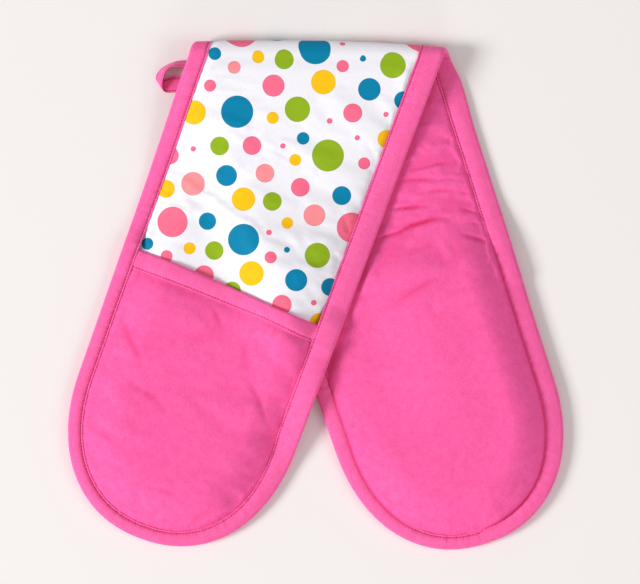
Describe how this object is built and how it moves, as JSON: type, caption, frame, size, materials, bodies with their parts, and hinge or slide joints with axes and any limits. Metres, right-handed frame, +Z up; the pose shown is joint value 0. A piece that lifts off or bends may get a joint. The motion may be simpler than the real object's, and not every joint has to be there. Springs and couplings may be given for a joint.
{
  "type": "double oven glove",
  "caption": "Double oven glove folded across its middle: a padded cotton strip with a hand pocket at each end, bound all round, with a hanging loop.",
  "frame": {"origin": "under the middle of the bounding box, on the table that the folded glove lies on", "axes": "+Y from the toes towards the middle fold, +X from the upper arm's toe to the lower arm's toe, +Z up from the table"},
  "size_m": [0.3932, 0.4002, 0.0341],
  "materials": {
    "printed_cotton": "matte",
    "pink_cotton": "matte",
    "pink_binding": "matte",
    "wadding": "matte"
  },
  "bodies": {
    "lower_arm": {"lower_front_panel": "printed_cotton", "lower_wadding": "wadding", "lower_back_panel": "pink_cotton", "lower_pocket_lining": "pink_cotton", "lower_pocket_wadding": "wadding", "lower_pocket_front": "pink_cotton", "lower_pocket_hem": "pink_binding", "lower_edge_binding": "pink_binding", "fold_front_panel": "printed_cotton", "fold_wadding": "wadding", "fold_back_panel": "pink_cotton", "fold_left_binding": "pink_binding", "fold_right_binding": "pink_binding"},
    "upper_arm": {"upper_front_panel": "printed_cotton", "upper_wadding": "wadding", "upper_back_panel": "pink_cotton", "upper_pocket_lining": "pink_cotton", "upper_pocket_wadding": "wadding", "upper_pocket_front": "pink_cotton", "upper_pocket_hem": "pink_binding", "upper_edge_binding": "pink_binding"},
    "hang_loop": {"hang_loop": "pink_binding"}
  },
  "joints": [
    {"name": "middle_fold", "type": "hinge", "parent": "lower_arm", "child": "upper_arm", "pos_m": [0, 0.18959, 0.0106], "axis": [-1, 0, 0], "range_deg": [0, 180], "deforming": ["fold_front_panel", "fold_wadding", "fold_back_panel", "fold_left_binding", "fold_right_binding"]},
    {"name": "loop_swing", "type": "hinge", "parent": "lower_arm", "child": "hang_loop", "pos_m": [-0.09183, 0.17541, 0.0003], "axis": [0.3289, -0.9444, 0], "range_deg": [0, 80]}
  ]
}
